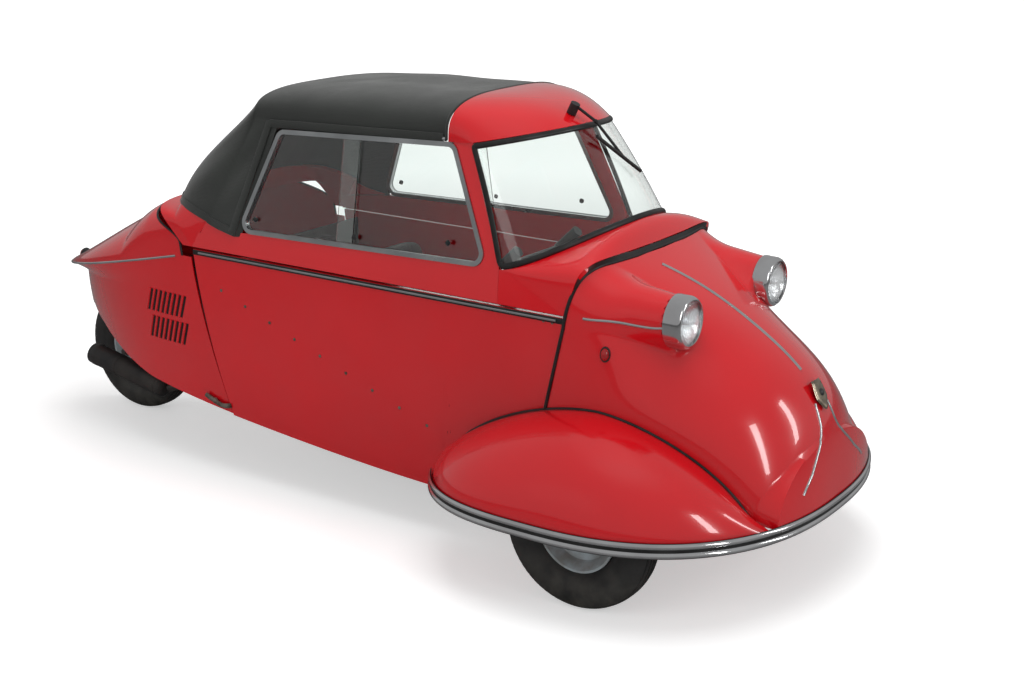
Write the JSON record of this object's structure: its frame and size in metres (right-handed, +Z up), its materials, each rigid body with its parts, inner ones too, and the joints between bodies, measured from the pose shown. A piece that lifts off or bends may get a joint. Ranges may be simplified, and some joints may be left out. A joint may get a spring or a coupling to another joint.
{
  "type": "bubble car",
  "caption": "Narrow three-wheeled microcar with tandem seats, a side-hinged canopy with fabric roof, skirted front wings, domed nose and a tapering tail cover",
  "frame": {"origin": "on the ground, midway along the car and on its centre line", "axes": "+X towards the nose, +Y to the car's left, +Z up"},
  "size_m": [2.796, 1.2424, 1.205],
  "materials": {
    "red_paint": "high gloss enamel, slightly orange-peeled",
    "black_paint": "satin black enamel on welded tube",
    "grey_paint": "satin grey floor paint",
    "wheel_paint": "light blue-grey wheel enamel",
    "black_rubber": "extruded sealing rubber",
    "tyre_rubber": "ribbed tyre rubber",
    "polished_metal": "polished bright trim",
    "satin_alloy": "satin rolled alloy section",
    "clear_glass": "clear",
    "red_lens": "translucent red lens",
    "cast_alloy": "rough cast",
    "sooty_steel": "black stove paint with heat wear",
    "black_vinyl": "grained seat cloth",
    "black_plastic": "moulded black",
    "hood_fabric": "coated hood cloth with a fine grain"
  },
  "bodies": {
    "tub": {"chassis_frame": "black_paint", "floor_pan": "grey_paint", "tub_side_right": "red_paint", "tub_side_left": "red_paint", "rear_bulkhead": "grey_paint", "front_bulkhead": "red_paint", "footwell": "red_paint", "nose_shell": "red_paint", "wing_right": "red_paint", "wing_left": "red_paint", "bumper_strip": "polished_metal", "headlamps": "polished_metal", "marker_lamps": "red_lens", "nose_shield": "polished_metal", "belt_strips": "black_rubber", "rear_swing_arm": "black_paint", "engine_block": "cast_alloy", "exhaust": "sooty_steel", "seat_front": "black_vinyl", "seat_rear": "black_vinyl", "dash_panel": "black_plastic", "pedals": "black_paint"},
    "canopy": {"canopy_cowl": "red_paint", "canopy_side_right": "red_paint", "canopy_side_left": "red_paint", "canopy_header": "red_paint", "canopy_deck": "red_paint", "windshield": "clear_glass", "windshield_seal": "black_rubber", "side_window_frames": "satin_alloy", "side_panes": "clear_glass", "soft_top": "hood_fabric", "hood_bows": "black_paint", "wiper": "black_plastic"},
    "tail_cover": {"tail_shell": "red_paint", "tail_lamp": "red_lens"},
    "steering": {"steering_bar": "black_plastic"},
    "track_rod": {"track_rod": "black_paint"},
    "knuckle_right": {"knuckle_right": "black_paint"},
    "knuckle_left": {"knuckle_left": "black_paint"},
    "wheel_right": {"front_tyre_right": "tyre_rubber", "front_rim_right": "wheel_paint"},
    "wheel_left": {"front_tyre_left": "tyre_rubber", "front_rim_left": "wheel_paint"},
    "wheel_rear": {"rear_tyre": "tyre_rubber", "rear_rim": "wheel_paint"}
  },
  "joints": [
    {"name": "canopy_hinge", "type": "hinge", "parent": "tub", "child": "canopy", "pos_m": [0, -0.358, 0.703], "axis": [1, 0, 0], "range_deg": [0, 75]},
    {"name": "tail_hinge", "type": "hinge", "parent": "tub", "child": "tail_cover", "pos_m": [-0.716, 0, 0.817], "axis": [0, 1, 0], "range_deg": [0, 45]},
    {"name": "steer_right", "type": "hinge", "parent": "tub", "child": "knuckle_right", "pos_m": [0.908, -0.39, 0.21], "axis": [0, 0, 1], "range_deg": [-25, 25]},
    {"name": "steer_left", "type": "hinge", "parent": "tub", "child": "knuckle_left", "pos_m": [0.908, 0.39, 0.21], "axis": [0, 0, 1], "range_deg": [-25, 25]},
    {"name": "steer_column", "type": "hinge", "parent": "tub", "child": "steering", "pos_m": [0.848, 0, 0.3], "axis": [-0.6876, 0, 0.7261], "range_deg": [-38, 38]},
    {"name": "rod_slide", "type": "slide", "parent": "tub", "child": "track_rod", "axis": [0, 1, 0], "range_m": [-0.04, 0.04]},
    {"name": "spin_right", "type": "hinge", "parent": "knuckle_right", "child": "wheel_right", "pos_m": [0.908, -0.46, 0.21], "axis": [0, 1, 0], "continuous": true},
    {"name": "spin_left", "type": "hinge", "parent": "knuckle_left", "child": "wheel_left", "pos_m": [0.908, 0.46, 0.21], "axis": [0, 1, 0], "continuous": true},
    {"name": "spin_rear", "type": "hinge", "parent": "tub", "child": "wheel_rear", "pos_m": [-1.12, 0, 0.21], "axis": [0, 1, 0], "continuous": true}
  ],
  "couplings": [
    {"joint": "steer_left", "follows": "steer_right", "ratio": 1},
    {"joint": "steer_column", "follows": "steer_right", "ratio": 1.5},
    {"joint": "rod_slide", "follows": "steer_right", "m_per_rad": 0.09}
  ]
}
